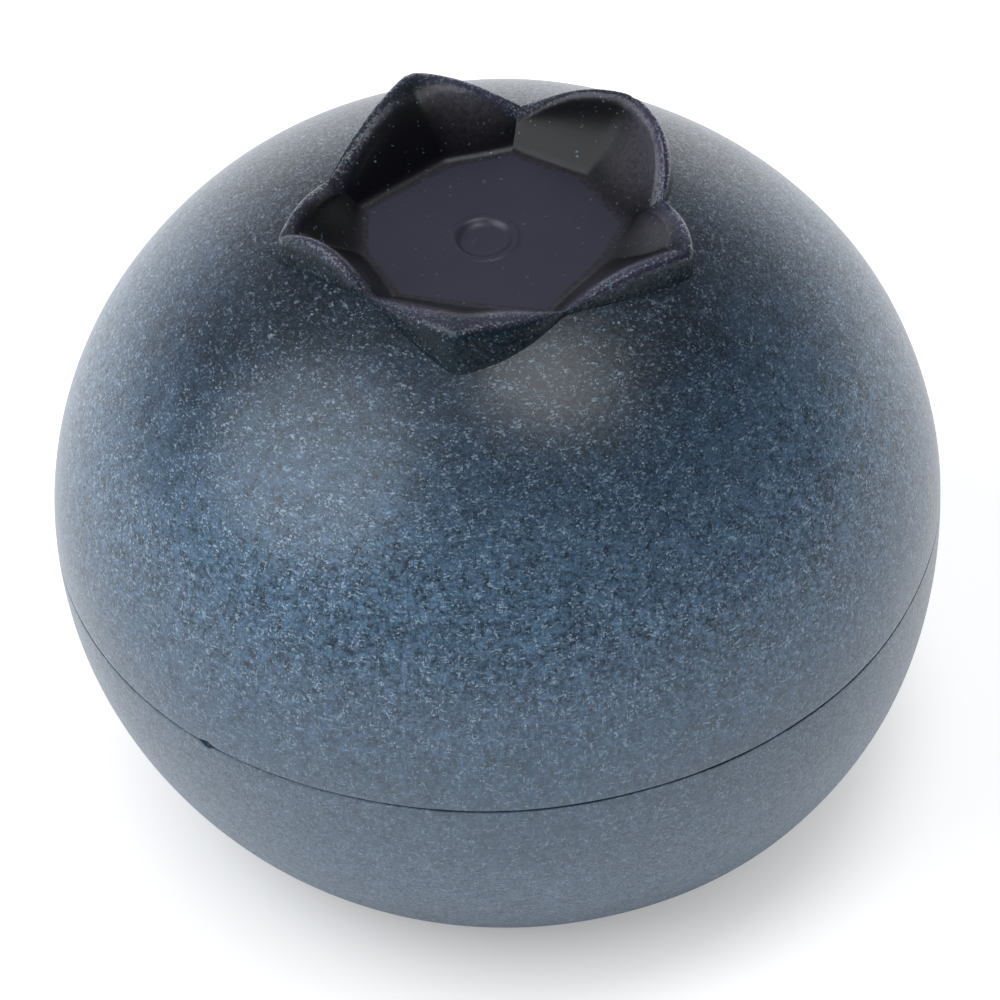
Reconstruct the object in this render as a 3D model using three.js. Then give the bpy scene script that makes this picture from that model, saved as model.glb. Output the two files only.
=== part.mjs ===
// A berry-shaped stress ball, 70 mm across, moulded in flexible polyurethane foam.
//
// Two halves of dense skin meet at a parting line round the widest girth and hold a soft foam core.
// A five-lobed crown sits in the top: a flat floor with a plugged filling hole, a collar round the
// floor, and five separate sepals that bend on the collar. The whole crown can be pressed down into
// the foam. Millimetres, +Z up along the crown's axis, origin on that axis, level with the base.

import * as THREE from 'three';

// ---- Driving dimensions --------------------------------------------------------------------------

const GAP = 0.3; // clearance between neighbouring pieces

// The body is two superellipse curves that meet at the girth.
const RADIUS = 35; // widest radius, at the girth
const GIRTH = 25.4; // height of the girth, and of the parting line, above the base
const UPPER = { rise: 30.6, power: 2.07 }; // pole above the girth, and the curve's power
const LOWER = { rise: -32.1, power: 2.14 }; // pole below the girth, cut off by the flat base
const TURN_UNDER = 3; // height at which the side starts to round into the base
const LEAN = 1.2; // how far the base lies to +X of the crown's axis
const LEAN_POWER = 1.5; // how slowly that lean fades out towards the girth
const SKIN = 1.6; // thickness of the dense skin
const FLASH = 0.5; // height of the thin flash ring in the parting line
const AROUND = 48; // steps round the body

// The crown.
const FLOOR = 52.3; // height of the crown's flat floor
const FLOOR_DEPTH = 1.8; // thickness of the floor and depth of the collar below it
const NOTCH = { floor: 10.2, rim: 12.6 }; // radius of the floor's corner and of the rim at a notch
const LOBE = { floor: 9.6, rim: 11.9 }; // the same, at the middle of a sepal
const COLLAR_RISE = 1.8; // top of the collar, and bottom of the notches, above the floor
const COLLAR_RADIUS = 13; // outside of the collar
const HOLE_RADIUS = 1.9; // filling hole in the floor
const PLUG_SINK = 0.4; // how far the plug's face lies below the floor

// The sepals, anticlockwise: bearing of the notch where each begins, then its tip's bearing,
// radius and height above the floor, and how far its rim arches up before and after the tip.
const SEPALS = [
  { name: 'sepal_right', notch: -63, bearing: -22, reach: 16.6, rise: 3.1, arch: [0.8, 0.5] },
  { name: 'sepal_back_right', notch: 5, bearing: 39, reach: 15.7, rise: 5.1, arch: [0.6, 1.0] },
  { name: 'sepal_back_left', notch: 76, bearing: 108, reach: 15.5, rise: 4.7, arch: [1.0, 0.5] },
  { name: 'sepal_left', notch: 157, bearing: 187, reach: 15.6, rise: 3.3, arch: [0.8, 1.6] },
  { name: 'sepal_front', notch: 223, bearing: 261, reach: 14.7, rise: 4.1, arch: [0.3, 0.3] },
];
const SEPAL_END = 1.6; // bearing kept clear at each end of a sepal
const SEPAL_EDGE = 0.5; // thickness of a sepal where it runs out at a notch
const SEPAL_FOOT = 0.8; // how far the foot of the outer face lies outside the tip

// ---- Helpers -------------------------------------------------------------------------------------

const radians = THREE.MathUtils.degToRad;
const lerp = THREE.MathUtils.lerp;

// A point from its bearing in degrees, radius and height.
const at = (bearing, radius, height) =>
  new THREE.Vector3(Math.cos(radians(bearing)) * radius, Math.sin(radians(bearing)) * radius, height);

// A point of the body's curve, inset from the outside, at an angle of 0 (girth) to 90 degrees (pole).
function curvePoint(half, inset, angle) {
  const radius = (RADIUS - inset) * Math.cos(angle) ** (2 / half.power);
  const rise = (Math.abs(half.rise) - inset) * Math.sin(angle) ** (2 / half.power);
  return new THREE.Vector2(radius, GIRTH + Math.sign(half.rise) * rise);
}

// The angle at which a curve reaches a height, or a radius.
const angleAtHeight = (half, inset, height) =>
  Math.asin((Math.abs(height - GIRTH) / (Math.abs(half.rise) - inset)) ** (half.power / 2));
const angleAtRadius = (half, inset, radius) =>
  Math.acos((radius / (RADIUS - inset)) ** (half.power / 2));

// Height of the upper curve's outside at a radius.
const topHeight = (radius) => curvePoint(UPPER, 0, angleAtRadius(UPPER, 0, radius)).y;

// Points along a curve between two angles.
const curvePoints = (half, inset, from, to, steps) =>
  Array.from({ length: steps + 1 }, (_, i) => curvePoint(half, inset, lerp(from, to, i / steps)));

// A solid of revolution about Z, leaning towards +X below the girth.
function turned(profile) {
  const geometry = new THREE.LatheGeometry(profile, AROUND).rotateX(Math.PI / 2);
  const position = geometry.attributes.position;
  for (let i = 0; i < position.count; i++) {
    const depth = Math.max(0, 1 - position.getZ(i) / GIRTH);
    position.setX(i, position.getX(i) + LEAN * depth ** LEAN_POWER);
  }
  return geometry;
}

// A closed solid through a row of sections, each the same number of points; a ring if closed.
function loft(sections, closed) {
  const size = sections[0].length;
  const index = [];
  const rows = closed ? sections.length : sections.length - 1;
  for (let i = 0; i < rows; i++) {
    const j = (i + 1) % sections.length;
    for (let k = 0; k < size; k++) {
      const m = (k + 1) % size;
      const [a, b, c, d] = [i * size + k, i * size + m, j * size + m, j * size + k];
      index.push(a, b, c, a, c, d);
    }
  }
  if (!closed) {
    const last = (sections.length - 1) * size;
    for (let k = 1; k < size - 1; k++) {
      index.push(0, k + 1, k, last, last + k, last + k + 1);
    }
  }
  return new THREE.BufferGeometry().setFromPoints(sections.flat()).setIndex(index);
}

const paint = (color, roughness, metalness) =>
  new THREE.MeshStandardMaterial({ color, roughness, metalness });

const crown = new THREE.Group();
const body = new THREE.Group();

function add(group, name, geometry, material) {
  const mesh = new THREE.Mesh(geometry, material);
  mesh.name = name;
  group.add(mesh);
}

// ---- Body ----------------------------------------------------------------------------------------

const pearlBlue = paint(0x2e4a66, 0.45, 0.5);
const pearlGrey = paint(0x6f8092, 0.45, 0.5);
const flashGrey = paint(0x2b3440, 0.7, 0.1);
const rawFoam = paint(0xcfc8b8, 0.95, 0);

const seamEdge = FLASH / 2 + GAP; // from the girth to each skin's edge

function upperSkin() {
  const mouth = COLLAR_RADIUS + GAP;
  const edge = GIRTH + seamEdge;
  const run = (inset) => [angleAtHeight(UPPER, inset, edge), angleAtRadius(UPPER, inset, mouth)];
  const outside = curvePoints(UPPER, 0, ...run(0), 12);
  const inside = curvePoints(UPPER, SKIN, ...run(SKIN), 10).reverse();
  return turned([...outside, ...inside, outside[0]]);
}

// The lower outside, from the axis across the flat base, round the edge and up to a height.
function lowerOutside(inset, height, steps) {
  const turn = angleAtHeight(LOWER, inset, TURN_UNDER);
  const side = curvePoints(LOWER, inset, turn, angleAtHeight(LOWER, inset, height), steps);
  const [start, next] = side;
  const corner = start.x - (start.y * (next.x - start.x)) / (next.y - start.y);
  const onBase = corner - start.distanceTo(new THREE.Vector2(corner, 0));
  const base = new THREE.Path().moveTo(0, 0).lineTo(onBase, 0);
  base.quadraticCurveTo(corner, 0, start.x, start.y);
  return [...base.getPoints(4), ...side.slice(1)];
}

function lowerSkin() {
  const edge = GIRTH - seamEdge;
  const outside = lowerOutside(0, edge, 10);
  const from = angleAtHeight(LOWER, SKIN, edge);
  const inside = curvePoints(LOWER, SKIN, from, angleAtHeight(LOWER, SKIN, SKIN), 8);
  return turned([...outside, ...inside, new THREE.Vector2(0, SKIN)]);
}

function partingFlash() {
  const [low, high] = [GIRTH - FLASH / 2, GIRTH + FLASH / 2];
  const section = [[RADIUS, low], [RADIUS, high], [RADIUS - SKIN, high], [RADIUS - SKIN, low]];
  return turned([...section, section[0]].map(([x, y]) => new THREE.Vector2(x, y)));
}

function foamCore() {
  const inset = SKIN + GAP;
  const well = COLLAR_RADIUS + GAP;
  const seat = FLOOR - FLOOR_DEPTH - GAP;
  const lower = curvePoints(LOWER, inset, angleAtHeight(LOWER, inset, inset), 0, 8);
  const upper = curvePoints(UPPER, inset, 0, angleAtRadius(UPPER, inset, well), 8);
  return turned([
    new THREE.Vector2(0, inset),
    ...lower,
    ...upper.slice(1),
    new THREE.Vector2(well, seat),
    new THREE.Vector2(0, seat),
  ]);
}

add(body, 'upper_skin', upperSkin(), pearlBlue);
add(body, 'lower_skin', lowerSkin(), pearlGrey);
add(body, 'parting_flash', partingFlash(), flashGrey);
add(body, 'foam_core', foamCore(), rawFoam);

// ---- Crown ---------------------------------------------------------------------------------------

const floorPurple = paint(0x35323f, 0.45, 0.2);
const crownBlack = paint(0x14181d, 0.35, 0.2);

// The notch after a sepal, which is where the next one begins.
const notchAfter = (i) => SEPALS[(i + 1) % SEPALS.length].notch + (i + 1 === SEPALS.length ? 360 : 0);

// The floor's ten corners, anticlockwise: a notch, then the middle of a sepal, and so on.
const CORNERS = SEPALS.flatMap((sepal) => [
  { bearing: sepal.notch, ...NOTCH },
  { bearing: sepal.bearing, ...LOBE },
]);

function crownFloor() {
  const outline = CORNERS.map(({ bearing, floor }) => at(bearing, floor - GAP, 0));
  const shape = new THREE.Shape(outline.map(({ x, y }) => new THREE.Vector2(x, y)));
  shape.holes.push(new THREE.Path().absarc(0, 0, HOLE_RADIUS, 0, 2 * Math.PI, true));
  const options = { depth: FLOOR_DEPTH, bevelEnabled: false, curveSegments: 10 };
  return new THREE.ExtrudeGeometry(shape, options).translate(0, 0, FLOOR - FLOOR_DEPTH);
}

function fillPlug() {
  const height = FLOOR_DEPTH - PLUG_SINK;
  const plug = new THREE.CylinderGeometry(HOLE_RADIUS - GAP, HOLE_RADIUS - GAP, height, 20);
  return plug.rotateX(Math.PI / 2).translate(0, 0, FLOOR - FLOOR_DEPTH + height / 2);
}

// A ring whose inside slopes up and out in ten straight facets and whose outside is round.
function crownCollar() {
  const bottom = FLOOR - FLOOR_DEPTH;
  const top = FLOOR + COLLAR_RISE;
  const perSide = 3;
  const sections = CORNERS.flatMap((corner, i) => {
    const wrap = i + 1 === CORNERS.length;
    const next = CORNERS[(i + 1) % CORNERS.length];
    const nextBearing = next.bearing + (wrap ? 360 : 0);
    return Array.from({ length: perSide }, (_, step) => {
      const share = step / perSide;
      const inside = (key, height) =>
        at(corner.bearing, corner[key], height).lerp(at(nextBearing, next[key], height), share);
      const bearing = lerp(corner.bearing, nextBearing, share);
      return [
        inside('floor', bottom),
        inside('floor', FLOOR),
        inside('rim', top),
        at(bearing, COLLAR_RADIUS, top),
        at(bearing, COLLAR_RADIUS, bottom),
      ];
    });
  });
  return loft(sections, true);
}

// A sepal is a lobe with a valley down its inside. Its sections run from notch to notch, and each
// has its inner edge on the collar, its rim, its outer foot on the skin, and the skin's mouth.
function sepal({ notch, bearing, reach, rise, arch }, end) {
  const seat = FLOOR + COLLAR_RISE + GAP;
  const mouth = COLLAR_RADIUS + GAP;
  const section = (share, from, inner, bulge) => {
    const place = lerp(from, bearing, share);
    const rim = lerp(NOTCH.rim + SEPAL_EDGE, reach, share);
    const level = lerp(COLLAR_RISE + GAP + SEPAL_EDGE, rise, share);
    const foot = lerp(mouth + SEPAL_EDGE, reach + SEPAL_FOOT, share);
    return [
      inner.clone().setZ(seat),
      at(place, rim, FLOOR + level + bulge * Math.sin(Math.PI * share)),
      at(place, foot, topHeight(foot) + GAP),
      at(place, mouth, topHeight(mouth) + GAP),
    ];
  };
  const [first, last] = [notch + SEPAL_END, end - SEPAL_END];
  const middle = at(bearing, LOBE.rim, 0);
  const side = (from, bulge) => [0, 0.25, 0.5, 0.75].map((share) =>
    section(share, from, at(from, NOTCH.rim, 0).lerp(middle, share), bulge));
  const tip = section(1, first, middle, 0);
  return loft([...side(first, arch[0]), tip, ...side(last, arch[1]).reverse()], false);
}

add(crown, 'crown_floor', crownFloor(), floorPurple);
add(crown, 'fill_plug', fillPlug(), floorPurple);
add(crown, 'crown_collar', crownCollar(), crownBlack);
SEPALS.forEach((each, i) => add(crown, each.name, sepal(each, notchAfter(i)), crownBlack));

const ball = new THREE.Group();
ball.add(body, crown);
export default ball;
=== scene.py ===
"""A berry-shaped foam stress ball with a five-lobed crown, in a pale studio.

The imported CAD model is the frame: it holds the sizes, the bodies and the joints. Every piece of the
ball stands for one CAD node, in the same place and in metres, and comes from the same few curves.
"""

import math

import bpy
from mathutils import Matrix, Vector, noise


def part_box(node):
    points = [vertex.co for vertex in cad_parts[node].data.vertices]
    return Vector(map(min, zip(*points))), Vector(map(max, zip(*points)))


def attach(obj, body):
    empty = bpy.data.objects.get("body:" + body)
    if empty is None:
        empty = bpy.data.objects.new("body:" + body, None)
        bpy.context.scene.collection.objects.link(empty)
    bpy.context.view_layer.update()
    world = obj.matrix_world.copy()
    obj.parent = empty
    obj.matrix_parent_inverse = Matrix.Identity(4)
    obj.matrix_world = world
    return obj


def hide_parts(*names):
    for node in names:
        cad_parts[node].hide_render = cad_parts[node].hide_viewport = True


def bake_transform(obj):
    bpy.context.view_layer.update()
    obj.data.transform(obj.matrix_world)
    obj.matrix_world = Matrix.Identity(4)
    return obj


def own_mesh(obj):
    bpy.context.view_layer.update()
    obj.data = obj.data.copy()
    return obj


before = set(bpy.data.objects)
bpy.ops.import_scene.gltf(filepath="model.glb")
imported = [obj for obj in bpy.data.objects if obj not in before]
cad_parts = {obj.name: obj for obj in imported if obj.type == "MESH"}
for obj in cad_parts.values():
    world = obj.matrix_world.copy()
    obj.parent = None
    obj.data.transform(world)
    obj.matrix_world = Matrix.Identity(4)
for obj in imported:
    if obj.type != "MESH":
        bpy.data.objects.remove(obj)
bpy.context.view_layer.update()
MM = 0.001
UP = Vector((0, 0, 1))

# ---- Dimensions ----------------------------------------------------------------------------------

SEAM_LOW, SEAM_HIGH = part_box("parting_flash")
RADIUS = (SEAM_HIGH.x - SEAM_LOW.x) / 2  # widest radius, at the girth
GIRTH = (SEAM_HIGH.z + SEAM_LOW.z) / 2  # height of the girth
FLOOR_LOW, FLOOR_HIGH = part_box("crown_floor")
FLOOR = FLOOR_HIGH.z  # height of the crown's floor
MOUTH = 12.8 * MM  # mean radius of the opening in the upper skin

# The body is two superellipse curves that meet at the girth.
UPPER = {"rise": 30.6 * MM, "power": 2.07}
LOWER = {"rise": -32.1 * MM, "power": 2.14}
TURN_UNDER = 3 * MM  # height at which the side starts to round into the base
LEAN = 1.2 * MM  # how far the base lies to +X of the crown's axis
LEAN_POWER = 1.5
SKIN = 1.6 * MM  # thickness of the dense skin
AROUND = 480  # steps round the body

# The parting line.
LIP = 0.12 * MM  # radius of each skin's edge at the parting line
SLIT = 0.03 * MM  # half the gap between the two edges
NICK = {"bearing": -131.5, "wide": 0.7, "deep": 0.38 * MM}  # small chip in the parting line

# The crown's sepals, anticlockwise, with bearings in degrees, lengths in millimetres and heights
# above the floor. Each sepal begins at its notch and ends at the next one's.
#   notch: bearing, radius of its corner on the floor, radius of its rim, height of its rim
#   valley: bearing and radius of the crease's foot on the floor
#   tip: bearing, radius, height
#   toe: bearing and radius of the place where the foot reaches furthest over the skin
#   arch, bow, skirt, and the dust entry: for the flanks before and after the tip, how far the rim arches
#       up, how far the rim and the foot bow out, and how much pale colour lies on the inside, partly a
#       pale dusting
#       of paint and partly painted light: painted light where a flank faces the lamps, and a painted
#       highlight high on the back-left sepal's first flank
#   fold: how soft the valley is, from 0 for a sharp crease
#   roll: how far the rounding of the rim reaches down the inside
#   hollow: how far the inside is dished, or below 0 how far it bulges
SEPALS = [
    {"name": "right", "notch": (-63, 10.2, 12.4, 2.0), "valley": (-18, 9.8), "tip": (-21.5, 16.6, 3.0),
     "toe": (-21, 17.0), "arch": (0.8, 0.5), "bow": (0.0, 0.5), "skirt": (0.5, 0.5), "fold": 0.15,
     "dust_and_painted_light": (1.0, 1.0), "roll": 1.6, "hollow": 0.3},
    {"name": "back_right", "notch": (4.5, 11.0, 13.5, 1.8), "valley": (40, 10.4), "tip": (39, 15.7, 5.3),
     "toe": (39, 16.4), "arch": (0.6, 1.0), "bow": (1.3, 0.3), "skirt": (1.5, 0.3), "fold": 0.06,
     "dust_and_painted_light": (1.8, 0.0), "roll": 1.4, "hollow": 0.6},
    {"name": "back_left", "notch": (76, 10.4, 13.1, 1.9), "valley": (106, 9.4), "tip": (109, 15.8, 5.0),
     "toe": (109, 16.2), "arch": (0.65, 0.45), "bow": (0.2, 0.3), "skirt": (0.3, 0.4), "fold": 0.4,
     "dust_and_painted_light": (0.9, 0.0), "roll": 1.8, "hollow": -0.5},
    {"name": "left", "notch": (155.5, 10.2, 12.4, 2.0), "valley": (186, 9.5), "tip": (188, 15.5, 3.3),
     "toe": (187, 16.3), "arch": (0.8, 1.6), "bow": (0.2, 0.0), "skirt": (0.3, 0.4), "fold": 0.10,
     "dust_and_painted_light": (0.0, 0.7), "roll": 1.5, "hollow": 0.3},
    {"name": "front", "notch": (222, 9.4, 11.9, 1.8), "valley": (260, 8.0), "tip": (262, 14.6, 4.1),
     "toe": (260.5, 16.6), "arch": (0.3, 0.2), "bow": (0.4, 0.0), "skirt": (0.4, 0.9), "fold": 0.30,
     "dust_and_painted_light": (0.9, 0.9), "roll": 2.0, "hollow": 0.2},
]
NEIGHBOURS = list(zip(SEPALS, SEPALS[1:] + SEPALS[:1]))  # each sepal with the one that follows it
NOTCH_FOOT = 0.35 * MM  # how far a notch's foot lies outside its rim
SOFTNESS = {"floor": 0.04, "rim": 0.06, "foot": 0.06}  # how rounded the sepals' corners are
FLOOR_THICK = 1.4 * MM  # thickness of the crown's floor

# ---- Points and curves ---------------------------------------------------------------------------


def lerp(a, b, share):
    """The value or point that lies that share of the way from a to b."""
    return a + (b - a) * share


def at(bearing, radius, height=0.0):
    """A point from its bearing in degrees, radius and height."""
    turn = math.radians(bearing)
    return Vector((math.cos(turn) * radius, math.sin(turn) * radius, height))


def curve_point(half, inset, angle):
    """(radius, height) on one of the body's curves, at an angle of 0 (girth) to pi / 2 (pole)."""
    power = 2 / half["power"]
    radius = (RADIUS - inset) * math.cos(angle) ** power
    rise = (abs(half["rise"]) - inset) * math.sin(angle) ** power
    return radius, GIRTH + math.copysign(rise, half["rise"])


def angle_at_height(half, inset, height):
    """The angle at which a body curve reaches a height."""
    share = abs(height - GIRTH) / (abs(half["rise"]) - inset)
    return math.asin(share ** (half["power"] / 2))


def angle_at_radius(half, inset, radius):
    """The angle at which a body curve reaches a radius."""
    return math.acos((radius / (RADIUS - inset)) ** (half["power"] / 2))


def curve_points(half, inset, start, end, steps):
    """Points along a body curve between two angles."""
    return [curve_point(half, inset, lerp(start, end, i / steps)) for i in range(steps + 1)]


def skin_height(radius):
    """Height of the upper skin's outside at a radius."""
    return curve_point(UPPER, 0, angle_at_radius(UPPER, 0, radius))[1]


def bezier(a, b, c, steps):
    """Points along a quadratic curve from a to c that is pulled towards b, both ends included."""
    return [lerp(lerp(a, b, i / steps), lerp(b, c, i / steps), i / steps) for i in range(steps + 1)]


# ---- Mesh making ---------------------------------------------------------------------------------


def make_piece(name, points, faces):
    """A mesh object, smooth except at edges sharper than 50 degrees.

    It remembers each point's place at rest, so that its paint stays put when it bends or flattens.
    """
    mesh = bpy.data.meshes.new(name)
    mesh.from_pydata([tuple(p) for p in points], [], faces)
    mesh.validate()
    places = [value for vertex in mesh.vertices for value in vertex.co]
    mesh.attributes.new("rest_place", "FLOAT_VECTOR", "POINT").data.foreach_set("vector", places)
    mesh.shade_smooth()
    mesh.set_sharp_from_angle(angle=math.radians(50))
    piece = bpy.data.objects.new(name, mesh)
    bpy.context.scene.collection.objects.link(piece)
    return piece


def grid_faces(rows, size, close_rows, close_ring):
    """Quads between neighbouring rows of points, each row that many points long."""
    faces = []
    for i in range(rows if close_rows else rows - 1):
        j = (i + 1) % rows
        for k in range(size if close_ring else size - 1):
            m = (k + 1) % size
            faces.append((i * size + k, j * size + k, j * size + m, i * size + m))
    return faces


def lean_at(height):
    """How far the body leans to +X at a height."""
    return LEAN * max(0.0, 1 - height / GIRTH) ** LEAN_POWER


def turned(name, profile, shape=None, around=AROUND):
    """A closed solid of revolution about Z, leaning towards +X below the girth.

    The profile is a closed loop of (radius, height), anticlockwise seen with Z up and the radius to
    the right, or starts and ends on the axis. shape moves each point.
    """
    on_axis = profile[0][0] < 1e-9
    ring = profile[1:-1] if on_axis else profile
    points = []
    for i in range(around):
        bearing = 360 * i / around
        for radius, height in ring:
            points.append(at(bearing, radius, height) + Vector((lean_at(height), 0, 0)))
    if shape:
        points = [shape(point) for point in points]
    faces = grid_faces(around, len(ring), True, not on_axis)
    if on_axis:
        for end, (_, height) in ((0, profile[0]), (len(ring) - 1, profile[-1])):
            points.append(Vector((lean_at(height), 0, height)))
            for i in range(around):
                edge = (i * len(ring) + end, ((i + 1) % around) * len(ring) + end)
                faces.append((len(points) - 1, *(edge if end else edge[::-1])))
    return make_piece(name, points, faces)


def swell(point, amount, size, seed):
    """Smooth random lumps: a signed distance for a place on the surface."""
    return noise.noise(point / size + Vector((seed, seed, seed))) * amount


def outwards(point):
    """The direction from the middle of the body to a point."""
    return Vector((point.x, point.y, point.z - GIRTH)).normalized()


def uneven(point):
    """A point of the body pushed in or out a little, as cast foam is never quite true."""
    keep_flat = min(1.0, max(0.0, point.z / TURN_UNDER))
    lump = swell(point, amount=0.16 * MM, size=14 * MM, seed=3.0)
    return point + outwards(point) * lump * keep_flat


# ---- Materials -----------------------------------------------------------------------------------


class Nodes:
    """The node tree of a material or a world, filled by short calls."""

    def __init__(self, owner):
        owner.use_nodes = True
        self.owner = owner
        self.tree = owner.node_tree
        self.tree.nodes.clear()

    def node(self, kind, inputs=None, **settings):
        """A node with its settings, and with its inputs linked to sockets or set to values."""
        made = self.tree.nodes.new("ShaderNode" + kind)
        for key, value in settings.items():
            setattr(made, key, value)
        for key, value in (inputs or {}).items():
            socket = made.inputs[key]
            if isinstance(value, bpy.types.NodeSocket):
                self.tree.links.new(value, socket)
            else:
                socket.default_value = (*value, 1) if socket.type == "RGBA" else value
        return made

    def math(self, operation, a, b=0.0, c=0.0, clamp=False):
        """One arithmetic step on numbers."""
        return self.node("Math", {0: a, 1: b, 2: c}, operation=operation, use_clamp=clamp).outputs[0]

    def vector_math(self, operation, a, b=(0, 0, 0), scale=1.0):
        """One arithmetic step on vectors."""
        inputs = {0: a, 1: b, 3: scale}
        return self.node("VectorMath", inputs, operation=operation).outputs[0]

    def spread(self, value, low, high, to_low=0.0, to_high=1.0):
        """A number smoothly mapped from one range to another."""
        inputs = {"Value": value, "From Min": low, "From Max": high, "To Min": to_low, "To Max": to_high}
        return self.node("MapRange", inputs, interpolation_type="SMOOTHSTEP").outputs[0]

    def mix(self, share, a, b):
        """Two colours mixed."""
        return self.node("Mix", {0: share, 6: a, 7: b}, data_type="RGBA").outputs[2]

    def first_channel(self, colour):
        """The first number of a colour."""
        return self.node("SeparateColor", {0: colour}).outputs[0]

    def colour_ramp(self, value, stops):
        """A colour that runs smoothly through (place, colour) stops."""
        made = self.node("ValToRGB", {0: value})
        elements = made.color_ramp.elements
        for i, (place, colour) in enumerate(stops):
            element = elements[i] if i < 2 else elements.new(place)
            element.position = place
            element.color = (*colour, 1)
        made.color_ramp.interpolation = "EASE"
        return made.outputs[0]

    def attribute(self, name, output="Fac"):
        """A number or a vector that the mesh carries."""
        return self.node("Attribute", attribute_name=name).outputs[output]

    def place(self):
        """The surface point's place at rest, in metres."""
        return self.attribute("rest_place", "Vector")

    def noise(self, place, size, detail=2.0, roughness=0.5):
        """Smooth noise whose features are about that size."""
        inputs = {"Vector": place, "Scale": 1 / size, "Detail": detail, "Roughness": roughness}
        return self.node("TexNoise", inputs).outputs[0]

    def cells(self, place, size):
        """A random colour for each cell of about that size, as paint flakes have."""
        return self.node("TexVoronoi", {"Vector": place, "Scale": 1 / size}).outputs["Color"]

    def flake_normal(self, place, size, tilt):
        """The surface normal, tilted at random for each flake."""
        lean = self.vector_math("SUBTRACT", self.cells(place, size), (0.5, 0.5, 0.5))
        lean = self.vector_math("SCALE", lean, scale=tilt)
        normal = self.node("NewGeometry").outputs["Normal"]
        return self.vector_math("NORMALIZE", self.vector_math("ADD", normal, lean))

    def bump(self, height, strength, distance, normal=None):
        """A normal from a height in metres."""
        inputs = {"Height": height, "Strength": strength, "Distance": distance}
        if normal:
            inputs["Normal"] = normal
        return self.node("Bump", inputs).outputs[0]

    def finish(self, **inputs):
        """The material, once it has a surface with these inputs."""
        named = {key.replace("_", " "): value for key, value in inputs.items()}
        surface = self.node("BsdfPrincipled", named)
        self.node("OutputMaterial", {"Surface": surface.outputs[0]})
        return self.owner


def new_shader(name):
    """The empty node tree of a new material."""
    return Nodes(bpy.data.materials.new(name))


GRAIN = 0.5 * MM  # size of the body paint's mottled grain and of its orange peel
CLOUD = 1.6 * MM  # size of the soft patches in the paint
FLAKE = 0.14 * MM  # size of one pearl flake
SEPAL_FLAKE = 0.15 * MM
FLOOR_FLAKE = 0.22 * MM
PEEL = 0.06 * MM  # height of the orange peel

# The sprayed colours, by their share of the way from the base to just above the crown's floor.
SPRAY_TOP = FLOOR + 2 * MM
SPRAY_LAYERS = [
    (0.0, (0.060, 0.086, 0.120)),
    (0.25, (0.086, 0.126, 0.176)),
    (0.46, (0.075, 0.112, 0.157)),
    (0.60, (0.062, 0.108, 0.166)),
    (0.78, (0.064, 0.116, 0.181)),
    (0.93, (0.026, 0.050, 0.084)),
    (1.0, (0.008, 0.015, 0.027)),
]
PEARL_GLINT = (0.35, 0.46, 0.57)


def sprayed_colour(shader, place, height, speckle):
    """The colour in layers by height, their edges drifting and frayed as sprayed paint's are."""
    drift = shader.math("SUBTRACT", shader.noise(place, 16 * MM), 0.5)
    spray = shader.math("MULTIPLY_ADD", drift, 12 * MM, height)
    spray = shader.math("MULTIPLY_ADD", speckle, 22 * MM, spray)
    return shader.colour_ramp(shader.math("DIVIDE", spray, SPRAY_TOP), SPRAY_LAYERS)


def pearl_flakes(shader, place):
    """How bright the flakes are as a whole, and the brightest flake, from wide and tall flakes."""
    wide = shader.cells(shader.vector_math("MULTIPLY", place, (0.6, 0.6, 1.6)), FLAKE)
    tall = shader.cells(shader.vector_math("MULTIPLY", place, (1.5, 1.5, 0.6)), FLAKE)
    wide = shader.first_channel(wide)
    tall = shader.first_channel(tall)
    flakes = shader.math("SUBTRACT", shader.math("ADD", wide, tall), 1.0)
    return flakes, shader.math("MAXIMUM", wide, tall)


def body_paint():
    """Sprayed pearl paint: pale silver-blue below, blue above and near black round the crown."""
    shader = new_shader("pearl_body")
    place = shader.place()
    height = shader.node("SeparateXYZ", {0: place}).outputs["Z"]
    speckle = shader.math("SUBTRACT", shader.noise(place, GRAIN, 3.0, 0.75), 0.5)
    colour = sprayed_colour(shader, place, height, speckle)

    contrast = shader.spread(height, 24 * MM, 42 * MM, 0.35, 1.0)
    mottle = shader.spread(speckle, -0.24, 0.24, -0.62, 0.75)
    cloud = shader.math("SUBTRACT", shader.noise(place, CLOUD), 0.5)
    mottle = shader.math("MULTIPLY_ADD", cloud, 1.3, mottle)
    flakes, brightest = pearl_flakes(shader, place)
    shade = shader.math("MULTIPLY_ADD", flakes, 0.55, mottle)
    shade = shader.math("MAXIMUM", shader.math("MULTIPLY_ADD", shade, contrast, 1.0), 0.3)
    colour = shader.vector_math("SCALE", colour, scale=shade)

    sparse = shader.spread(height, 38 * MM, FLOOR, 0.65, 0.30)
    strength = shader.spread(shader.noise(place, 0.7 * MM, 1.0), 0.35, 0.7, 0.2, 1.6)
    glint = shader.spread(brightest, 0.82, 1.0, 0.0, shader.math("MULTIPLY", sparse, strength))
    colour = shader.mix(shader.math("MULTIPLY", glint, contrast), colour, PEARL_GLINT)

    peel = shader.noise(place, GRAIN)
    gloss = shader.spread(height, 2 * MM, 30 * MM, 0.1, 1.0)
    return shader.finish(
        Base_Color=colour, Metallic=0.25, Roughness=0.42,
        Normal=shader.bump(peel, 0.25, PEEL, shader.flake_normal(place, FLAKE, 0.40)),
        Specular_IOR_Level=shader.math("MULTIPLY", gloss, 0.12),
        Coat_Normal=shader.bump(peel, 0.25, PEEL), Coat_Roughness=0.3, Coat_IOR=1.5,
        Coat_Weight=shader.math("MULTIPLY", gloss, 0.72),
        Sheen_Weight=shader.math("MULTIPLY", gloss, 0.05), Sheen_Roughness=0.35,
        Sheen_Tint=(0.85, 0.85, 1.0),
    )


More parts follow.
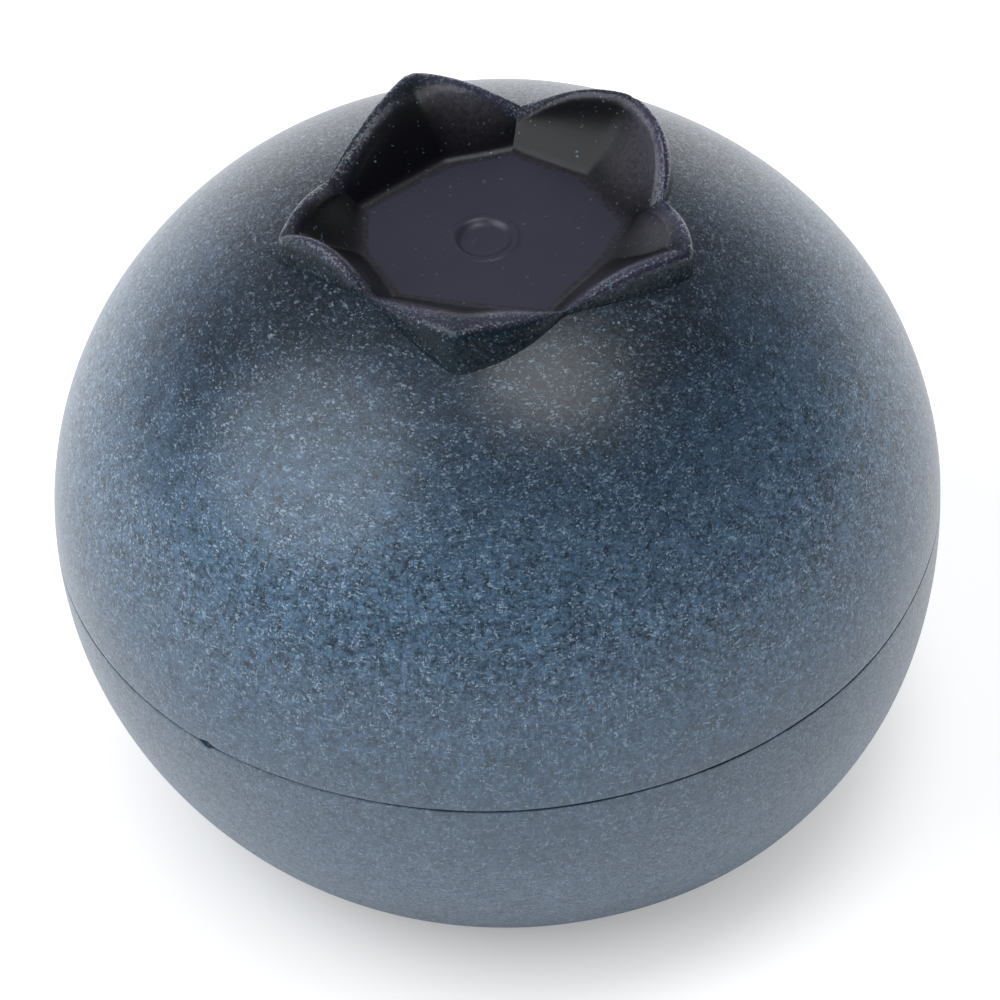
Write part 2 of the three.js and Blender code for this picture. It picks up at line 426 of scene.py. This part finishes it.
def flash_paint():
    """The thin flash in the parting line, painted dark and patchy as painted shade in the slit between
    the skins.
    """
    shader = new_shader("seam_flash")
    place = shader.place()
    painted_slit_shade = shader.noise(place, 1.5 * MM, 3.0)
    # Painted shade: the flash is coloured dark, in patches, for the shade in the slit.
    colour = shader.mix(painted_slit_shade, (0.03, 0.04, 0.055), (0.09, 0.11, 0.14))
    normal = shader.bump(shader.noise(place, 0.2 * MM), 0.5, 0.05 * MM)
    return shader.finish(Base_Color=colour, Roughness=0.8, Normal=normal)


def raw_foam():
    """Open cream foam, as a torn ball shows inside, with painted shade in its pores."""
    shader = new_shader("raw_foam")
    place = shader.place()
    inputs = {"Vector": place, "Scale": 1 / (0.6 * MM)}
    cell = shader.node("TexVoronoi", inputs, feature="F1").outputs["Distance"]
    tone = shader.noise(place, 9 * MM, 3.0)
    colour = shader.mix(tone, (0.70, 0.64, 0.50), (0.80, 0.76, 0.64))
    # Painted shade: darker brown in the middle of each pore, where the bump sinks a pit.
    colour = shader.mix(shader.spread(cell, 0.0, 0.35, 0.6, 0.0), colour, (0.42, 0.36, 0.26))
    normal = shader.bump(cell, 0.9, 0.4 * MM)
    return shader.finish(Base_Color=colour, Roughness=0.95, Normal=normal)


def floor_paint():
    """Smooth satin purple-grey, with only a few pale flecks."""
    shader = new_shader("crown_floor")
    place = shader.place()
    tone = shader.noise(place, 5 * MM)
    colour = shader.mix(tone, (0.031, 0.029, 0.051), (0.038, 0.036, 0.064))
    flake = shader.first_channel(shader.cells(place, FLOOR_FLAKE))
    colour = shader.mix(shader.spread(flake, 0.99, 1.0, 0.0, 0.25), colour, (0.20, 0.22, 0.30))
    normal = shader.bump(shader.noise(place, 0.35 * MM), 0.15, 0.04 * MM)
    return shader.finish(Base_Color=colour, Metallic=0.1, Roughness=0.38, Normal=normal)


def sepal_paint():
    """Glossy near-black inside with a pale dusting that is partly painted light, violet on the rim that
    is made paler there as a painted highlight, and dark teal outside.
    """
    shader = new_shader("sepal")
    place = shader.place()
    rim, outer, dust_and_painted_light = (shader.attribute(name) for name in ("rim", "outer", "dust_and_painted_light"))
    patch = shader.noise(place, 2.5 * MM, 3.0)
    fine = shader.noise(place, 0.35 * MM, 2.0, 0.7)
    inside = shader.mix(patch, (0.002, 0.002, 0.004), (0.005, 0.005, 0.008))
    outside = shader.mix(patch, (0.002, 0.007, 0.012), (0.006, 0.021, 0.033))
    # Violet rim paint, made paler along the rim as a painted highlight.
    violet_and_highlight = shader.mix(patch, (0.030, 0.026, 0.058), (0.066, 0.062, 0.115))
    # The pale dusting is partly painted light: painted light on flanks that face the lamps and a painted
    # highlight on the back-left sepal.
    pale_dust_and_light = shader.math("MULTIPLY", dust_and_painted_light, shader.spread(fine, 0.3, 0.7, 0.5, 1.0))
    colour = shader.mix(pale_dust_and_light, inside, (0.078, 0.074, 0.092))
    colour = shader.mix(outer, colour, outside)
    rim_violet_and_highlight = shader.math("MULTIPLY", rim, shader.math("MULTIPLY_ADD", dust_and_painted_light, 0.5, 0.35))
    colour = shader.mix(rim_violet_and_highlight, colour, violet_and_highlight)

    cells = shader.cells(place, SEPAL_FLAKE)
    flake, strength, _ = shader.node("SeparateColor", {0: cells}).outputs
    cover = shader.math("MULTIPLY_ADD", outer, 0.18, 0.02)
    cover = shader.math("MULTIPLY_ADD", rim, 0.30, cover)
    rarest = shader.math("SUBTRACT", 1.0, cover)
    glint = shader.spread(flake, rarest, 1.0, 0.0, 0.5)
    glint = shader.math("MULTIPLY", glint, shader.spread(strength, 0.1, 1.0, 0.05, 1.0))
    tint = shader.mix(shader.noise(place, 0.4 * MM), (0.10, 0.32, 0.32), (0.30, 0.30, 0.52))
    colour = shader.mix(glint, colour, tint)
    tilt = shader.math("MULTIPLY", shader.math("ADD", rim, outer), 0.25, clamp=True)
    normal = shader.flake_normal(place, SEPAL_FLAKE, tilt)
    normal = shader.bump(fine, 0.15, 0.04 * MM, normal)
    return shader.finish(
        Base_Color=colour, Metallic=0.15, Roughness=0.31, Normal=normal,
        Specular_IOR_Level=shader.math("MULTIPLY_ADD", rim, 0.45, 0.27),
    )


BODY_PAINT = body_paint()
FLASH_PAINT = flash_paint()
RAW_FOAM = raw_foam()
FLOOR_PAINT = floor_paint()
SEPAL_PAINT = sepal_paint()


# ---- The body ------------------------------------------------------------------------------------

SEAT = FLOOR_LOW.z - 0.4 * MM  # height of the foam's seat, just under the crown


def settle_body_piece(piece, node, material):
    """The piece stands for a node of the base and moves with it.
    """
    piece.data.materials.append(material)
    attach(piece, "base")
    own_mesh(piece)
    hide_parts(node)


def lip(up):
    """The rounded edge of a skin at the parting line, from its side in to its flat edge.

    up is 1 for the upper skin and -1 for the lower one.
    """
    steps = 5
    radius, height = RADIUS - LIP, GIRTH + up * (SLIT + LIP)
    turns = [math.pi / 2 * i / steps for i in range(steps + 1)]
    return [(radius + LIP * math.cos(t), height - up * LIP * math.sin(t)) for t in turns]


def mouth_radius(bearing):
    """The skin's opening runs from notch to notch of the crown, just under their feet."""
    for sepal, following in NEIGHBOURS:
        start, _, rim, _ = sepal["notch"]
        end, _, next_rim, _ = following["notch"]
        along = ((bearing - start) % 360) / ((end - start) % 360)
        if along <= 1:
            return lerp(rim, next_rim, along) * MM + NOTCH_FOOT / 2


def fit_crown(point):
    """A skin point drawn in or out near the opening, so that the opening follows the crown."""
    reach = 4 * MM
    radius = math.hypot(point.x, point.y)
    share = (MOUTH + reach - radius) / reach
    if share <= 0 or point.z < GIRTH:
        return point
    bearing = math.degrees(math.atan2(point.y, point.x))
    moved = radius + (mouth_radius(bearing) - MOUTH) * min(1.0, share)
    return at(bearing, moved, point.z + skin_height(moved) - skin_height(radius))


def seam_wander(point):
    """How far the parting line's edges draw back at a place, for an uneven line with one nick."""
    bearing = math.degrees(math.atan2(point.y, point.x))
    draw = max(-SLIT, swell(point, amount=0.09 * MM, size=3.5 * MM, seed=11.0))
    off = (bearing - NICK["bearing"]) / NICK["wide"]
    return draw + NICK["deep"] * math.exp(-off * off)


def with_seam(point):
    """A skin point fitted to the crown and to the parting line's wander, on uneven foam."""
    reach = 0.5 * MM
    nearness = max(0.0, 1 - abs(point.z - GIRTH) / reach)
    if nearness > 0 and math.hypot(point.x, point.y) > RADIUS - 2 * LIP:
        point = point.copy()
        point.z += math.copysign(seam_wander(point) * nearness, point.z - GIRTH)
    return uneven(fit_crown(point))


def upper_skin():
    """The upper half of the skin, from the parting line to the crown's mouth."""
    edge = GIRTH + SLIT + LIP
    mouth_out = angle_at_radius(UPPER, 0, MOUTH)
    mouth_in = angle_at_radius(UPPER, SKIN, MOUTH)
    start_in = angle_at_height(UPPER, SKIN, edge)
    outside = curve_points(UPPER, 0, angle_at_height(UPPER, 0, edge), mouth_out, 96)
    inside = curve_points(UPPER, SKIN, mouth_in, start_in, 30)
    inner_edge = (RADIUS - SKIN, GIRTH + SLIT)
    profile = [inner_edge, *reversed(lip(1)), *outside[1:], *inside]
    return turned("upper_foam_skin", profile, with_seam)


def lower_outside():
    """The lower outside from the axis across the base, round its edge and up to the lip."""
    turn = angle_at_height(LOWER, 0, TURN_UNDER)
    top = angle_at_height(LOWER, 0, GIRTH - SLIT - LIP)
    side = curve_points(LOWER, 0, turn, top, 60)
    (radius, height), (next_radius, next_height) = side[:2]
    slope = (next_radius - radius) / (next_height - height)
    first = Vector((radius, height))
    corner = Vector((radius - height * slope, 0))
    start = Vector((corner.x - (first - corner).length, 0))
    rounding = [tuple(p) for p in bezier(start, corner, first, 12)]
    flat = [(start.x * i / 14, 0.0) for i in range(14)]
    return [*flat, *rounding, *side[1:]]


def lower_skin():
    """The lower half of the skin: a bowl with a flat base."""
    outside = lower_outside()
    bottom = angle_at_height(LOWER, SKIN, SKIN)
    top = angle_at_height(LOWER, SKIN, GIRTH - SLIT)
    inside = curve_points(LOWER, SKIN, top, bottom, 30)
    profile = [*outside[:-1], *lip(-1), *inside, (0.0, SKIN)]
    return turned("lower_foam_skin", profile, with_seam)


def parting_flash():
    """The thin uneven flash that stands between the two skins."""
    edge = RADIUS - 0.1 * MM
    half = SLIT * 0.8
    inner = RADIUS - SKIN
    profile = [(inner, GIRTH - half), (edge - half, GIRTH - half), (edge, GIRTH)]
    profile += [(edge - half, GIRTH + half), (inner, GIRTH + half)]

    def ragged(point):
        out = Vector((point.x, point.y, 0))
        if out.length < RADIUS - 0.5 * MM:
            return point
        return point + out.normalized() * swell(point, amount=0.1 * MM, size=1.2 * MM, seed=5.0)

    return turned("seam_flash", profile, ragged, 360)


def foam_core():
    """The soft foam inside, with a seat for the crown and a lumpy surface."""
    inset = SKIN + 0.35 * MM
    well = MOUTH + 0.1 * MM
    lower = curve_points(LOWER, inset, angle_at_height(LOWER, inset, inset), 0, 24)
    upper = curve_points(UPPER, inset, 0, angle_at_radius(UPPER, inset, well), 24)
    profile = [(0.0, inset), *lower, *upper[1:], (well, SEAT), (0.0, SEAT)]

    def lumpy(point):
        lump = swell(point, amount=0.2 * MM, size=1.5 * MM, seed=7.0)
        return point + outwards(point) * (lump - 0.15 * MM)

    return turned("foam_filling", profile, lumpy, 120)


settle_body_piece(upper_skin(), "upper_skin", BODY_PAINT)
settle_body_piece(lower_skin(), "lower_skin", BODY_PAINT)
settle_body_piece(parting_flash(), "parting_flash", FLASH_PAINT)
settle_body_piece(foam_core(), "foam_core", RAW_FOAM)


# ---- The crown -----------------------------------------------------------------------------------

ACROSS = 56  # steps along a sepal, from notch to notch
STEPS = {"fillet": 6, "face": 14, "over": 10, "outside": 7}  # steps in each run of a section
ROLL_OUT = 1.5 * MM  # how far the rounding of a rim reaches down the outside
# The rim's violet paint carries a painted highlight as far down as this too.
RIM_PAINT = 0.75 * MM  # how far the rim's violet paint reaches down either side
HOLE = 1.8 * MM  # radius of the filling hole
BEAD = {"wide": 1.2 * MM, "rise": 0.15 * MM, "dip": 0.22 * MM}  # the soft bead round the hole
FILLET = 0.55 * MM  # how far the fillet at a sepal's root reaches over the floor and up the face
FILLET_DUST = 0.6  # how much pale paint lies on the fillet where it leaves the floor


def ramp(value, softness):
    """0 below zero and the value itself above, with a soft corner between; 1 at 1."""
    def soft(x):
        return (x + math.sqrt(x * x + softness * softness)) / 2
    return (soft(value) - soft(-1)) / (soft(1) - soft(-1))


def between(place, first, middle, last, softness):
    """A point on a line that runs first, middle, last as place goes -1, 0, 1, its corner softened."""
    return middle + (first - middle) * ramp(-place, softness) + (last - middle) * ramp(place, softness)


def notch_points(notch):
    """Where a notch's corner lies on the floor, its rim, and its foot on the skin."""
    bearing, corner, rim, rise = notch
    foot = rim * MM + NOTCH_FOOT
    return (
        at(bearing, corner * MM, FLOOR),
        at(bearing, rim * MM, FLOOR + rise * MM),
        at(bearing, foot, skin_height(foot)),
    )


def flank_outward(end, tip):
    """The level direction that points out of a sepal's flank between a notch and the tip."""
    side = end - tip
    outward = Vector((side.y, -side.x, 0)).normalized()
    return outward if outward.dot(tip) > 0 else -outward


def sepal_lines(sepal, following, place):
    """A point on a sepal's root, halfway up its inside, on its rim and its foot; and a softening.

    place goes from -1 at its first notch through 0 at its tip to 1 at its last. The rim's corner at
    the tip is crisp, and the softening is what would round it as much as the valley is rounded.
    """
    first, last = notch_points(sepal["notch"]), notch_points(following["notch"])
    corner = at(sepal["valley"][0], sepal["valley"][1] * MM, FLOOR)
    tip = at(sepal["tip"][0], sepal["tip"][1] * MM, FLOOR + sepal["tip"][2] * MM)
    toe = at(sepal["toe"][0], sepal["toe"][1] * MM)
    root = between(place, first[0], corner, last[0], SOFTNESS["floor"])
    crisp = between(place, first[1], tip, last[1], SOFTNESS["rim"])
    foot = between(place, first[2], toe, last[2], SOFTNESS["foot"])
    middles = [lerp(a, b, 0.5) for a, b in ((first[0], first[1]), (corner, tip), (last[0], last[1]))]
    belly = between(place, *middles, sepal["fold"])
    softening = between(place, first[1], tip, last[1], sepal["fold"]) - crisp

    flank = 0 if place < 0 else 1
    swing = math.sin(math.pi * abs(place)) * MM
    outward = flank_outward(last[1] if flank else first[1], tip)
    lift = UP * sepal["arch"][flank] + outward * sepal["bow"][flank]
    foot = foot + outward * sepal["skirt"][flank] * swing
    foot.z = skin_height(math.hypot(foot.x, foot.y)) + 0.02 * MM
    return root, belly + lift * swing / 2, crisp + lift * swing, foot, softening


def sepal_section(sepal, following, place):
    """One section across a sepal, as runs of points that follow one another, and its rim's point.

    The runs are its start under the floor, the fillet at its root, its face, its rounded rim, its
    outside, and the stretch that is out of sight under the skin and the floor.
    """
    root, belly, rim, foot, softening = sepal_lines(sepal, following, place)
    roll_in = min(sepal["roll"] * MM, 0.55 * (root - rim).length)
    roll_out = min(ROLL_OUT, 0.45 * (foot - rim).length)
    down_in, down_out = (root - rim).normalized(), (foot - rim).normalized()
    apex = rim - (down_in * roll_in + down_out * roll_out) / 4
    inner_end = apex + down_in * roll_in + softening
    outer_start = apex + down_out * roll_out
    through = down_in.cross(down_out).normalized().cross(down_in)
    hollow = through * sepal["hollow"] * MM * (1 - abs(place) ** 3)

    # The fillet starts a hair above the floor, so that the two surfaces don't coincide.
    inward = Vector((-root.x, -root.y, 0)).normalized()
    start = root + inward * (FILLET + 0.05 * MM) + UP * -0.2 * MM
    fillet_start = root + inward * FILLET + UP * 0.008 * MM
    fillet_end = root - down_in * FILLET
    over = bezier(inner_end, apex, outer_start, STEPS["over"])
    for i, point in enumerate(over):
        share = i / STEPS["over"]
        over[i] = point + softening * 2 * share * (1 - share) ** 2
    under_skin = Vector((foot.x, foot.y, 0)).normalized() * (MOUTH + 0.6 * MM)
    under_skin.z = skin_height(MOUTH) - 1.2 * MM
    return {
        "start": [start],
        "fillet": bezier(fillet_start, root, fillet_end, STEPS["fillet"]),
        "face": bezier(fillet_end, belly + hollow, inner_end, STEPS["face"])[1:],
        "over": over[1:],
        "outside": bezier(outer_start, lerp(outer_start, foot, 0.5), foot, STEPS["outside"])[1:],
        "hidden": [foot + UP * -0.25 * MM, under_skin, start + UP * -0.3 * MM],
    }, rim


def section_looks(sepal, place, runs, rim):
    """For each point of a section, how far it is rim and outside, and how much pale dust and painted
    light lies on it.
    """
    points = [point for run in runs.values() for point in run]
    before = sum(len(runs[name]) for name in ("start", "fillet", "face"))
    # Pale dust and painted light on the inside, strongest mid-flank and high up: painted light where
    # flanks face the lamps, a painted highlight on the back-left sepal.
    pale_dust_and_light = sepal["dust_and_painted_light"][0 if place < 0 else 1] * math.sin(math.pi * abs(place) ** 0.9)
    dust_and_light_values = [pale_dust_and_light * min(1.0, i / before) ** 2 for i in range(len(points))]
    first, size = len(runs["start"]), len(runs["fillet"])
    for i in range(size):
        dust_and_light_values[first + i] = max(dust_and_light_values[first + i], FILLET_DUST * (1 - i / size))
    return {
        "rim": [math.exp(-((point - rim).length / RIM_PAINT) ** 2) for point in points],
        "outer": [min(1.0, max(0.0, (i - before + 1) / STEPS["over"])) for i in range(len(points))],
        "dust_and_painted_light": dust_and_light_values,
    }


def build_sepal(sepal, following):
    """One sepal as a closed solid on the crown."""
    sections, looks = [], {"rim": [], "outer": [], "dust_and_painted_light": []}
    for step in range(ACROSS + 1):
        place = 2 * step / ACROSS - 1
        runs, rim = sepal_section(sepal, following, place)
        sections.append([point for run in runs.values() for point in run])
        for name, values in section_looks(sepal, place, runs, rim).items():
            looks[name] += values
    size = len(sections[0])
    points = [point for section in sections for point in section]
    faces = [face[::-1] for face in grid_faces(len(sections), size, False, True)]
    faces.append(tuple(range(size)))
    faces.append(tuple(ACROSS * size + k for k in reversed(range(size))))
    piece = make_piece("sepal_lobe_" + sepal["name"], points, faces)
    for name, values in looks.items():
        piece.data.attributes.new(name, "FLOAT", "POINT").data.foreach_set("value", values)
    piece.data.materials.append(SEPAL_PAINT)
    node = "sepal_" + sepal["name"]
    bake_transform(piece)
    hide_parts(node)


def bead_profile():
    """(radius, rise above the floor) from the hole's wall over its rounded edge and the bead."""
    steps = 16
    rows = [(HOLE, -FLOOR_THICK)]
    for i in range(steps + 1):
        share = i / steps
        fall = (1 - share) ** 2.6 * BEAD["dip"]
        bulge = math.sin(math.pi * share) ** 2 * BEAD["rise"]
        rows.append((HOLE + BEAD["wide"] * share, bulge - fall))
    return rows


def floor_outline():
    """The ten-sided edge of the floor: a corner at each sepal's notch and one at its valley."""
    per_side = 12
    corners = []
    for sepal in SEPALS:
        corners.append(at(sepal["notch"][0], sepal["notch"][1] * MM, FLOOR))
        corners.append(at(sepal["valley"][0], sepal["valley"][1] * MM, FLOOR))
    outline = []
    for corner, following in zip(corners, corners[1:] + corners[:1]):
        outline += [lerp(corner, following, k / per_side) for k in range(per_side)]
    return outline


def crown_floor():
    """The flat ten-sided floor, with a low bead round the filling hole in its middle."""
    steps = 8
    rows = bead_profile()
    sections = []
    for edge in floor_outline():
        out = Vector((edge.x, edge.y, 0)).normalized()
        ring = [out * radius + UP * (FLOOR + rise) for radius, rise in rows]
        bead_end = ring[-1].copy()
        ring += [lerp(bead_end, edge, k / steps) for k in range(1, steps + 1)]
        ring.append(edge - UP * FLOOR_THICK)
        sections.append(ring)
    points = [point for ring in sections for point in ring]
    faces = [face[::-1] for face in grid_faces(len(sections), len(sections[0]), True, True)]
    return make_piece("crown_floor_disc", points, faces)


def fill_plug():
    """The dished plug of cured foam that closes the filling hole."""
    edge = HOLE + 0.03 * MM
    hollow = 0.16 * MM
    steps = 16
    dish = []
    for i in range(steps + 1):
        share = 1 - i / steps
        dish.append((edge * share, FLOOR - BEAD["dip"] - hollow * (1 - share ** 5)))
    bottom = FLOOR - FLOOR_THICK + 0.1 * MM
    profile = [(0.0, bottom), (edge, bottom), *dish]
    return turned("filling_plug", profile, around=96)


def crown_collar():
    """The ring under the sepals that joins them to the floor."""
    around = 120
    inner, outer = 9.8 * MM, 11.7 * MM
    low, high = FLOOR_LOW.z, FLOOR - 0.75 * MM
    corners = ((inner, low), (inner, high), (outer, high), (outer, low))
    points = [at(360 * i / around, *corner) for i in range(around) for corner in corners]
    faces = [face[::-1] for face in grid_faces(around, len(corners), True, True)]
    piece = make_piece("crown_root_ring", points, faces)
    bevel = piece.modifiers.new("rounded", "BEVEL")
    bevel.width = 0.15 * MM
    bevel.segments = 2
    return piece


def settle_crown_piece(piece, node, material):
    """The piece stands for a node of the crown and moves with it."""
    piece.data.materials.append(material)
    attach(piece, "crown")
    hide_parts(node)


settle_crown_piece(crown_floor(), "crown_floor", FLOOR_PAINT)
settle_crown_piece(fill_plug(), "fill_plug", FLOOR_PAINT)
settle_crown_piece(crown_collar(), "crown_collar", SEPAL_PAINT)
for this_sepal, next_sepal in NEIGHBOURS:
    build_sepal(this_sepal, next_sepal)


# ---- Studio and camera ---------------------------------------------------------------------------


def studio_floor():
    """A pale sheet that glows as if lit from below, with a painted shadow where the ball stands on it and
    painted light brighter behind it.
    """
    half = 1.5
    points = [(x * half, y * half, 0) for x, y in ((-1, -1), (1, -1), (1, 1), (-1, 1))]
    floor = make_piece("studio_floor", points, [(0, 1, 2, 3)])
    shader = new_shader("studio_floor")
    place = shader.place()
    tone = shader.noise(place, 0.3)
    colour = shader.mix(tone, (0.60, 0.60, 0.61), (0.62, 0.62, 0.62))
    reach = shader.node("VectorMath", {0: place}, operation="LENGTH").outputs["Value"]
    # Painted shadow: the sheet's glow is turned down where the ball stands.
    shade = shader.spread(reach, RADIUS * 0.4, RADIUS * 1.1, 0.2, 1.0)
    behind = shader.node("SeparateXYZ", {0: place}).outputs["Y"]
    # Painted light: the glow is brighter behind the ball than in front of it.
    painted_glow_behind = shader.spread(behind, 0.0, 0.3, 0.74, 1.1)
    floor.data.materials.append(shader.finish(
        Base_Color=colour, Roughness=1.0, Emission_Color=(1, 1, 1),
        Emission_Strength=shader.math("MULTIPLY", shade, painted_glow_behind),
    ))


def softbox(name, bearing, elevation, size, power):
    """A round area light that faces the ball from a bearing and an elevation."""
    distance = 0.8
    light = bpy.data.lights.new(name, "AREA")
    light.shape = "DISK"
    light.size = size
    light.energy = power
    light.color = (0.96, 0.99, 1.0)
    lamp = bpy.data.objects.new(name, light)
    bpy.context.scene.collection.objects.link(lamp)
    rise = math.radians(elevation)
    way = at(bearing, math.cos(rise), math.sin(rise))
    lamp.location = way * distance + UP * GIRTH
    lamp.rotation_euler = way.to_track_quat("Z", "Y").to_euler()


def studio_light():
    """A dim room, palest low down and behind, dimmer at the sides; and lamps left and above."""
    world = bpy.data.worlds.new("studio")
    bpy.context.scene.world = world
    room = Nodes(world)
    direction = room.node("TexCoord").outputs["Generated"]
    side, depth, rise = room.node("SeparateXYZ", {0: direction}).outputs
    band = room.spread(rise, 0.0, 0.36, 1.0, 0.24)
    behind = room.spread(depth, 0.1, 0.95, 0.44, 1.8)
    beside = room.spread(room.math("MULTIPLY", side, side), 0.15, 0.85, 1.0, 0.62)
    strength = room.math("MULTIPLY", room.math("MULTIPLY", band, behind), beside)
    background = room.node("Background", {"Color": (0.92, 0.95, 1.02), "Strength": strength})
    room.node("OutputWorld", {"Surface": background.outputs[0]})
    softbox("lamp_left", bearing=197, elevation=44, size=0.72, power=4.2)
    softbox("lamp_top", bearing=350, elevation=78, size=0.34, power=1.6)


def camera():
    """A long lens in front of the ball, looking down at it, rolled a little."""
    elevation, roll = math.radians(43.15), math.radians(2.985)
    distance = 15 * RADIUS
    back = Vector((0, -math.cos(elevation), math.sin(elevation)))
    right = Vector((1, 0, 0))
    up = back.cross(right)
    right, up = right * math.cos(roll) - up * math.sin(roll), right * math.sin(roll) + up * math.cos(roll)
    lens = bpy.data.cameras.new("camera")
    lens.sensor_width = 36
    lens.lens = 238.2
    lens.shift_x = 0.0024
    lens.shift_y = -0.0059
    lens.clip_start = 0.01
    lens.clip_end = 10
    view = bpy.data.objects.new("camera", lens)
    bpy.context.scene.collection.objects.link(view)
    turn = Matrix((right, up, back)).transposed().to_4x4()
    view.matrix_world = Matrix.Translation(back * distance + UP * GIRTH) @ turn
    bpy.context.scene.camera = view


studio_floor()
studio_light()
camera()
bpy.context.scene.view_settings.view_transform = "Standard"
